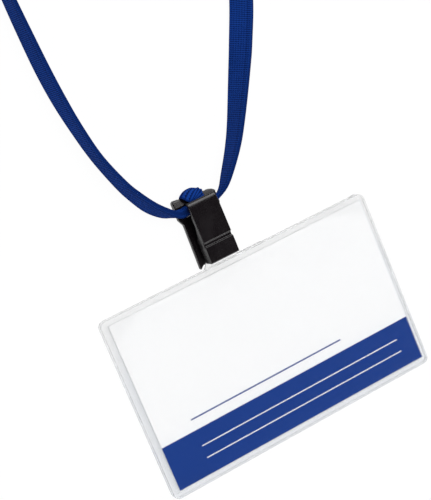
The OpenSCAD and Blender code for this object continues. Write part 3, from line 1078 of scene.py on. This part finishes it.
@dataclass
class SpringClip:
    """The black clip: base, lever, pivot pin and spring."""

    nodes: dict[str, bpy.types.Object]
    pivot: Vector
    grid: float = 0.14
    base_rounds: int = 6
    lever_rounds: int = 10

    def build(self) -> tuple[bpy.types.Object, ...]:
        """Makes the moulded pieces with softened edges and dresses the steel ones.

        Returns:
            The two moulded pieces.
        """
        base = moulded_copy(self.nodes["clip_base"], "clip_base_moulding", self.grid, self.base_rounds)
        settle(base, Body.CLIP, Slot.CLIP, "clip_base")
        lever = moulded_copy(self.nodes["clip_lever"], "clip_lever_moulding", self.grid, self.lever_rounds)
        settle(lever, Body.LEVER, Slot.CLIP, "clip_lever")
        dress(self.nodes["pivot_pin"], Slot.STEEL)
        ClipSpring(self.pivot, *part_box("clip_spring")).build()
        return base, lever


def unit(vectors: np.ndarray) -> np.ndarray:
    """Scales vectors along the last axis to a length of 1."""
    return vectors / np.linalg.norm(vectors, axis=-1, keepdims=True)


def run_along(places: np.ndarray) -> np.ndarray:
    """Gives the length of a route up to each of its places."""
    return np.concatenate([[0.0], np.cumsum(np.linalg.norm(np.diff(places, axis=0), axis=1))])


def smooth_route(points: np.ndarray, parts: int) -> np.ndarray:
    """Passes a Catmull-Rom curve through points that may carry more than a place.

    Args:
        points: One row per point.
        parts: Steps between two points.

    Returns:
        The finer rows.
    """
    padded = np.vstack([points[:1], points, points[-1:]])
    u = np.arange(parts)[:, None] / parts
    rows = []
    for a, b, c, d in zip(padded[:-3], padded[1:-2], padded[2:-1], padded[3:]):
        bend = 2 * a - 5 * b + 4 * c - d
        turn = 3 * b - a - 3 * c + d
        rows.append(0.5 * (2 * b + (c - a) * u + bend * u**2 + turn * u**3))
    return np.vstack([*rows, points[-1:]])


def even_route(rows: np.ndarray, step: float) -> np.ndarray:
    """Spaces a route's rows evenly along its length.

    Args:
        rows: One row per point, with its place in the first three columns.
        step: Wanted distance between rows.

    Returns:
        The evenly spaced rows.
    """
    run = run_along(rows[:, :3])
    count = max(2, round(run[-1] / step))
    wanted = np.linspace(0.0, run[-1], count + 1)
    return np.column_stack([np.interp(wanted, run, rows[:, i]) for i in range(rows.shape[1])])


@dataclass
class KnitSection:
    """The strap's cross-section: two ribbed faces with a groove beside each edge, and round edges."""

    columns: int = 9
    points_per_column: int = 4
    rib_depth: float = 0.06
    groove_at: float = 0.74
    groove_w: float = 0.05
    groove_depth: float = 0.1
    flatness: float = 7.0
    # Towards this share less of its full width the strap is gathered: rounder, with a deeper groove
    full_w: float = 8.0
    gather: float = 0.7
    gathered_flatness: float = 2.2
    gathered_groove: float = 1.5
    # How abruptly ribs and groove end at the edges
    edge_power: int = 8

    def face(self) -> np.ndarray:
        """Gives places across one face, from -1 at one edge to 1 at the other, without the second edge."""
        count = self.columns * self.points_per_column
        return np.linspace(-1.0, 1.0, count + 1)[:-1]

    def outline(self, width: np.ndarray, thick: np.ndarray) -> tuple[np.ndarray, np.ndarray]:
        """Gives the section at each ring.

        Args:
            width: The strap's width at each ring.
            thick: Its thickness at each ring.

        Returns:
            Offsets along the width and the thickness, one row per ring.
        """
        across = np.concatenate([self.face(), -self.face()])
        side = np.repeat([1.0, -1.0], len(across) // 2)
        gathered = np.clip((self.full_w - width) / (self.full_w * self.gather), 0.0, 1.0)[:, None]
        power = self.flatness + (self.gathered_flatness - self.flatness) * gathered
        crown = (1.0 - np.abs(across) ** power) ** (1.0 / power)
        rib = self.rib_depth * 0.5 * (1.0 - np.cos(math.pi * (across + 1.0) * self.columns))
        off_groove = (np.abs(across) - self.groove_at) / self.groove_w
        groove = self.groove_depth * np.exp(-(off_groove**2)) * (1.0 + self.gathered_groove * gathered)
        inner = (1.0 - np.abs(across) ** self.edge_power) * (self.rib_depth - rib + groove)
        return across * width[:, None] / 2, side * (crown * thick[:, None] / 2 - inner)


def tube_mesh(name: str, rings: np.ndarray, run: np.ndarray, columns: int) -> bpy.types.Mesh:
    """Skins rings into a closed tube with a UV map for the knit.

    Args:
        name: The mesh's name.
        rings: Places in metres, ring by ring.
        run: Millimetres along the strap at each ring.
        columns: Knit columns on one face.

    Returns:
        The mesh.
    """
    count, size, _ = rings.shape
    ids = np.arange(count * size).reshape(count, size)
    after = np.roll(ids, -1, axis=1)
    quads = np.stack([ids[:-1], ids[1:], after[1:], after[:-1]], axis=-1).reshape(-1, 4)
    faces = [*quads.tolist(), ids[0].tolist(), ids[-1][::-1].tolist()]
    mesh = bpy.data.meshes.new(name)
    mesh.from_pydata(rings.reshape(-1, 3).tolist(), [], faces)
    around = np.arange(size + 1) * (2 * columns / size)
    u = np.broadcast_to(run[:, None], (count, size))
    corner_u = np.stack([u[:-1], u[1:], u[1:], u[:-1]], axis=-1)
    v_low = np.broadcast_to(around[:-1], (count - 1, size))
    v_high = np.broadcast_to(around[1:], (count - 1, size))
    corner_v = np.stack([v_low, v_low, v_high, v_high], axis=-1)
    caps = np.zeros((2 * size, 2))
    flat = np.vstack([np.stack([corner_u, corner_v], axis=-1).reshape(-1, 2), caps])
    layer = mesh.uv_layers.new(name=STRAP_UV)
    layer.data.foreach_set("uv", flat.astype(np.float32).ravel())
    work = bmesh.new()
    work.from_mesh(mesh)
    bmesh.ops.recalc_face_normals(work, faces=work.faces)
    work.to_mesh(mesh)
    work.free()
    mesh.shade_smooth()
    mesh.set_sharp_from_angle(angle=math.radians(STRAP_SHARP_FROM))
    return mesh


@dataclass
class NeckStrap:
    """The knitted strap: its turn round the clip's bar, both strands, and the rest of it coiled in a tie."""

    nodes: dict[str, bpy.types.Object]
    zero: Vector
    section: KnitSection = field(default_factory=KnitSection)
    turn_section: KnitSection = field(
        default_factory=lambda: KnitSection(flatness=2.6, rib_depth=0.012, groove_depth=0.02)
    )
    width: float = 8.0
    thick: float = 1.3
    exit_y: float = 15.05
    exit_z: float = 3.225
    # Each strand where it leaves the clip: place from the exit, lean in degrees, width and thickness
    left_gathered: Table = (
        (-4.0, 0.0, 0.0, 0, 2.5, 3.0),
        (-6.0, 0.0, 0.0, 0, 2.5, 3.0),
        (-8.0, 0.7, 0.6, 6, 4.0, 2.2),
        (-10.7, 2.1, 0.45, 14, 6.8, 1.6),
    )
    right_gathered: Table = (
        (4.0, 0.0, 0.0, 0, 2.5, 3.0),
        (6.4, 0.0, 0.0, 0, 2.5, 1.8),
        (9.0, 1.6, 0.5, 4, 4.4, 1.3),
        (12.1, 5.0, 0.45, 3, 7.0, 1.3),
    )
    # Then the full width on its lower edge: X, Y and lean
    left_on_edge: Table = (
        *((-14.4, 20.7, 15), (-17.5, 25.5, 12), (-20.2, 30.9, 8), (-23.7, 40.8, 5)),
        *((-25.9, 50.9, 7), (-27.4, 60.9, 11), (-28.3, 71.0, 12), (-28.8, 82.0, 10)),
        *((-29.1, 92.0, 7), (-29.3, 107.0, 3), (-29.2, 122.0, 0)),
    )
    right_on_edge: Table = (
        *((17.0, 26.7, 8), (21.4, 33.8, 15), (28.9, 47.4, 31), (32.6, 54.4, 38)),
        *((38.1, 66.0, 41), (41.2, 76.5, 28), (38.8, 86.0, 12), (32.2, 92.2, 4)),
    )
    # The turn round the bar, from front to back: place from the exit, width, crown and slant
    turn_t: float = 1.1
    turn_route: Table = (
        (0.8, -1.2, -1.2, 3.6, 0.0, 0.0),
        (0.8, -0.9, -0.3, 3.6, 0.0, 0.0),
        (0.8, -0.1, 0.3, 3.8, 0.1, 0.0),
        (0.8, 1.6, 0.4, 4.0, 0.2, 0.0),
        (0.5, 2.9, 0.3, 4.6, 0.4, 0.02),
        (-0.2, 3.9, -0.1, 6.6, 1.2, 0.1),
        (-0.6, 4.3, -1.0, 7.7, 1.75, 0.16),
        (-0.5, 3.9, -2.0, 7.8, 1.1, 0.1),
        (-0.3, 2.6, -2.5, 8.0, 0.2, 0.02),
        (-0.3, 1.0, -2.5, 8.2, 0.0, 0.0),
        (-0.2, -0.4, -2.3, 8.0, 0.0, 0.0),
        (0.0, -1.1, -1.5, 7.4, 0.0, 0.0),
        (0.0, -0.7, -0.6, 6.6, 0.0, 0.0),
    )
    floor_gap: float = 0.05
    coil_z: float = 4.75
    coil_mid: Point = (16.0, 138.0)
    # Where the right strand comes up to the coil's height
    right_lifted: Point = (24.0, 94.5)
    coil_r: float = 38.0
    coil_pitch: float = 3.0
    right_wind: float = 322.5
    wind_step: float = 3.0
    # Degrees by which the left strand is wound further
    left_extra: float = 90.0
    tie_at: float = 45.0
    # The tie's place across the coil, in pitches from its inner end
    tie_lane: float = 1.5
    tie_lift: float = 12.0
    tie_grid: float = 0.15
    tie_rounds: int = 4
    # Distance between rings of the free strap and of its turn, and curve steps between two route points
    ring_step: float = 1.0
    turn_step: float = 0.35
    curve_steps: int = 8
    # A crowned ring is raised by this share of its crown, less the square of the place across it
    crown_level: float = 0.6

    def points(self, gathered: Table, on_edge: Table) -> np.ndarray:
        """Gives one strand from the clip outwards.

        Args:
            gathered: Where it leaves the clip: place from the exit, lean, width and thickness.
            on_edge: Where the full width rests on its lower edge: X, Y and lean.

        Returns:
            One row per point: place, lean in degrees, width and thickness.
        """
        x, y, lean = np.array(on_edge).T
        tip, same = np.radians(lean), np.ones(len(x))
        z = self.width / 2 * np.cos(tip) + self.thick / 2 * np.sin(tip) + self.floor_gap
        free = np.column_stack([x, y, z, lean, self.width * same, self.thick * same])
        return np.vstack([np.array(gathered) + (0, self.exit_y, self.exit_z, 0, 0, 0), free])

    def strand(self, wind: np.ndarray, turn: float) -> np.ndarray:
        """Gives places on one of the coil's two strands.

        Args:
            wind: Degrees wound outwards from the inner end.
            turn: 0 for the right strand and 180 for the left one.

        Returns:
            X and Y in the clip's frame.
        """
        angle = np.radians(270.0 - self.right_wind + turn + wind)
        radius = self.coil_r + 2 * self.coil_pitch * wind / 360.0
        return np.array(self.coil_mid) + radius[:, None] * np.column_stack([np.cos(angle), np.sin(angle)])

    def half_s(self, turn: float) -> np.ndarray:
        """Gives the half circle from the inner end of a strand to the coil's middle.

        Args:
            turn: 0 for the right strand and 180 for the left one.

        Returns:
            X and Y in the clip's frame.
        """
        start = math.radians(270.0 - self.right_wind + turn)
        part = start - np.radians(np.arange(0.0, 180.0, self.wind_step))
        half = self.coil_r / 2
        centre = np.array(self.coil_mid) + half * np.array([math.cos(start), math.sin(start)])
        return centre + half * np.column_stack([np.cos(part), np.sin(part)])

    def coil_rows(self) -> np.ndarray:
        """Gives the coil from the left strand's entry through the S to the right strand's exit.

        Returns:
            One row per point, as for the strands.
        """
        left_in = self.strand(np.arange(self.right_wind + self.left_extra, 0.0, -self.wind_step), 180.0)
        # Just past the last step, so that this is among them
        right_out = self.strand(np.arange(0.0, self.right_wind + 0.1, self.wind_step), 0.0)
        middle = np.array([self.coil_mid])
        flat = np.vstack([left_in, self.half_s(180.0), middle, self.half_s(0.0)[::-1], right_out])
        tie = math.radians(self.tie_at)
        tie_r = self.coil_r + self.coil_pitch * self.tie_lane
        off = np.linalg.norm(flat - self.coil_mid - tie_r * np.array([math.cos(tie), math.sin(tie)]), axis=1)
        low = self.width / 2 + self.floor_gap
        z = low + (self.coil_z - low) * np.exp(-((off / self.tie_lift) ** 2))
        same = np.ones(len(flat))
        return np.column_stack([flat, z, 0 * same, self.width * same, self.thick * same])

    def rows(self) -> np.ndarray:
        """Gives the whole free strap from the clip's left side round to its right side.

        Returns:
            Evenly spaced rows, as for the strands.
        """
        coil = self.coil_rows()
        lifted = (*self.right_lifted, self.coil_z, 0, self.width, self.thick)
        left = np.vstack([self.points(self.left_gathered, self.left_on_edge), coil[:1]])
        right = np.vstack([self.points(self.right_gathered, self.right_on_edge), lifted, coil[-1:]])
        left, right = smooth_route(left, self.curve_steps), smooth_route(right, self.curve_steps)[::-1]
        # Walked the other way, the right strand leans to the other side
        right = right * np.array([1, 1, 1, -1, 1, 1])
        return even_route(np.vstack([left[:-1], coil, right[1:]]), self.ring_step)

    def build_free(self) -> None:
        rows = self.rows()
        places = rows[:, :3]
        way = unit(np.gradient(places, axis=0))
        side = unit(np.column_stack([way[:, 1], -way[:, 0], 0 * way[:, 0]]))
        lean = np.radians(rows[:, 3:4])
        rise = np.array([[0.0, 0.0, 1.0]])
        tall = np.cos(lean) * rise + np.sin(lean) * side
        thin = np.cos(lean) * side - np.sin(lean) * rise
        across, out = self.section.outline(rows[:, 4], rows[:, 5])
        rings = places[:, None] + across[..., None] * tall[:, None] + out[..., None] * thin[:, None]
        run = run_along(places)
        zero = np.array(self.zero)
        mesh = tube_mesh("strap_free", rings * MM + zero, run, self.section.columns)
        strap = new_piece("strap_free", mesh)
        settle(strap, Body.CLIP, Slot.STRAP, "strap_left_run", "strap_right_run", "strap_coil")

    def build_turn(self) -> None:
        """Makes the turn that the strap takes round the clip's bar, crowned where it stands free over it."""
        points = np.array(self.turn_route) + (0, self.exit_y, self.exit_z, 0, 0, 0)
        rows = even_route(smooth_route(points, self.curve_steps), self.turn_step)
        places, width, crown, slant = rows[:, :3], rows[:, 3], rows[:, 4:5], rows[:, 5:6]
        way = unit(np.gradient(places, axis=0))
        wide = np.array([[1.0, 0.0, 0.0]]) + slant * np.array([[0.0, -1.0, 0.0]])
        wide = unit(wide - np.sum(wide * way, axis=1, keepdims=True) * way)
        thin = np.cross(wide, way)
        across, out = self.turn_section.outline(width, np.full_like(width, self.turn_t))
        share = across / (width[:, None] / 2)
        out = out + crown * (self.crown_level - share**2)
        rings = places[:, None] + across[..., None] * wide[:, None] + out[..., None] * thin[:, None]
        run = run_along(places)
        mesh = tube_mesh("strap_bar_turn", rings * MM + np.array(self.zero), run, self.turn_section.columns)
        turn = new_piece("strap_bar_turn", mesh)
        settle(turn, Body.CLIP, Slot.STRAP, "strap_turn")

    def build(self) -> None:
        """Makes the tie, the free strap and its turn."""
        tie = moulded_copy(self.nodes["coil_tie"], "coil_tie_band", self.tie_grid, self.tie_rounds)
        settle(tie, Body.CLIP, Slot.TIE, "coil_tie")
        self.build_free()
        self.build_turn()


@dataclass(frozen=True)
class Softbox:
    """A square studio lamp that looks at the object, with its places and side in metres."""

    name: str
    place: Triple
    side: float
    watts: float
    aim: Triple = (0.0, 0.05, 0.0)

    def build(self, only_on: tuple[bpy.types.Object, ...] = ()) -> None:
        """Adds the lamp, which lights matt surfaces or else draws highlights on a few pieces.

        Args:
            only_on: The pieces that it draws highlights on, or none where it lights matt surfaces.
        """
        lamp = bpy.data.lights.new(self.name, "AREA")
        lamp.shape = "SQUARE"
        lamp.size = self.side
        lamp.energy = self.watts
        light = bpy.data.objects.new(self.name, lamp)
        light.location = self.place
        light.visible_camera = False
        light.visible_transmission = False
        light.visible_diffuse = not only_on
        light.visible_glossy = bool(only_on)
        if only_on:
            targets = bpy.data.collections.new(self.name + "_targets")
            for piece in only_on:
                targets.objects.link(piece)
            light.light_linking.receiver_collection = targets
        light.rotation_euler = (Vector(self.aim) - Vector(self.place)).to_track_quat("-Z", "Y").to_euler()
        bpy.context.scene.collection.objects.link(light)


@dataclass
class Studio:
    """The camera, the white paper sweep and the soft light."""

    glossy: tuple[bpy.types.Object, ...]
    camera_at: Triple = (-164.039, 119.041, 443.292)
    camera_right: Triple = (0.84318481, -0.38194148, 0.37836502)
    camera_down: Triple = (-0.42112734, -0.90670463, 0.02320527)
    focal_px: float = 1577.97
    sensor: float = 36.0
    near: float = 10.0
    # Half of the floor's side, in metres
    floor_half: float = 4.0
    floor_drop: float = 0.3
    sky_low: str = "c8cacd"
    sky_high: str = "202124"
    sky_dims_from: float = 0.55
    sky_dark_at: float = 0.9
    key: Softbox = Softbox("key_softbox", (0.4, 0.5, 2.75), 2.4, 87.0)
    highlights: tuple[Softbox, ...] = (
        Softbox("side_highlight", (-1.95, -0.95, 1.86), 1.7, 70.0),
        Softbox("back_highlight", (0.54, 1.08, 1.05), 0.9, 19.0),
        Softbox("front_highlight", (0.54, -1.12, 1.0), 0.8, 16.0),
    )

    def add_camera(self) -> None:
        """Places the camera at the photograph's viewpoint."""
        lens = bpy.data.cameras.new("photo_camera")
        lens.sensor_width = self.sensor
        lens.lens = self.focal_px * self.sensor / PHOTO_HEIGHT_PX
        lens.clip_start = self.near * MM
        camera = bpy.data.objects.new("photo_camera", lens)
        right, down = Vector(self.camera_right), Vector(self.camera_down)
        turn = Matrix((right, -down, right.cross(-down))).transposed()
        camera.matrix_world = Matrix.Translation(Vector(self.camera_at) * MM) @ turn.to_4x4()
        bpy.context.scene.collection.objects.link(camera)
        bpy.context.scene.camera = camera

    def add_floor(self) -> None:
        """Lays the white paper just under the object."""
        half, z = self.floor_half, -self.floor_drop * MM
        corners = [(-half, -half, z), (half, -half, z), (half, half, z), (-half, half, z)]
        mesh = bpy.data.meshes.new("paper_floor")
        mesh.from_pydata(corners, [], [(0, 1, 2, 3)])
        floor = new_piece("paper_floor", mesh)
        mesh.materials.append(PaperSweep().build())

    def add_light(self) -> None:
        """Lights the object with a pale surround, dark overhead, one key softbox and three for highlights."""
        world = bpy.data.worlds.new("studio_surround")
        world.use_nodes = True
        tree = world.node_tree
        tree.nodes.clear()
        add = partial(add_node, tree)
        axes = add("ShaderNodeSeparateXYZ", links={0: add("ShaderNodeTexCoord").outputs["Generated"]})
        dimmed = add(
            "ShaderNodeMapRange",
            {"From Min": self.sky_dims_from, "From Max": self.sky_dark_at},
            {"Value": axes.outputs["Z"]},
            interpolation_type="SMOOTHSTEP",
        )
        colours = {MIX_A: to_linear(self.sky_low), MIX_B: to_linear(self.sky_high)}
        sky = add("ShaderNodeMix", colours, {0: dimmed}, data_type="RGBA")
        glow = add("ShaderNodeBackground", {"Strength": 1.0}, {"Color": sky})
        add("ShaderNodeOutputWorld", links={"Surface": glow})
        bpy.context.scene.world = world
        self.key.build()
        for lamp in self.highlights:
            lamp.build(self.glossy)

    def build(self) -> None:
        """Sets up the whole studio."""
        bpy.context.scene.view_settings.view_transform = "Standard"
        self.add_camera()
        self.add_floor()
        self.add_light()


def joint_place(frame: dict[str, Any], name: str) -> Vector:
    """Gives a joint's place in the frame, in metres."""
    return Vector(next(j["pos_m"] for j in frame["joints"] if j["name"] == name))


def main() -> None:
    """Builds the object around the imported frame."""
    logging.basicConfig(level=logging.INFO, format="%(name)s: %(message)s")
    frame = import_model()
    nodes = frame["nodes"]
    swing = joint_place(frame, "clip_swing")
    NeckStrap(nodes, Vector((swing.x, swing.y, 0.0))).build()
    CardCase(swing).build()
    NameCard().build()
    mouldings = SpringClip(nodes, joint_place(frame, "lever_press")).build()
    Studio(mouldings).build()


if __name__ == "__main__":
    main()
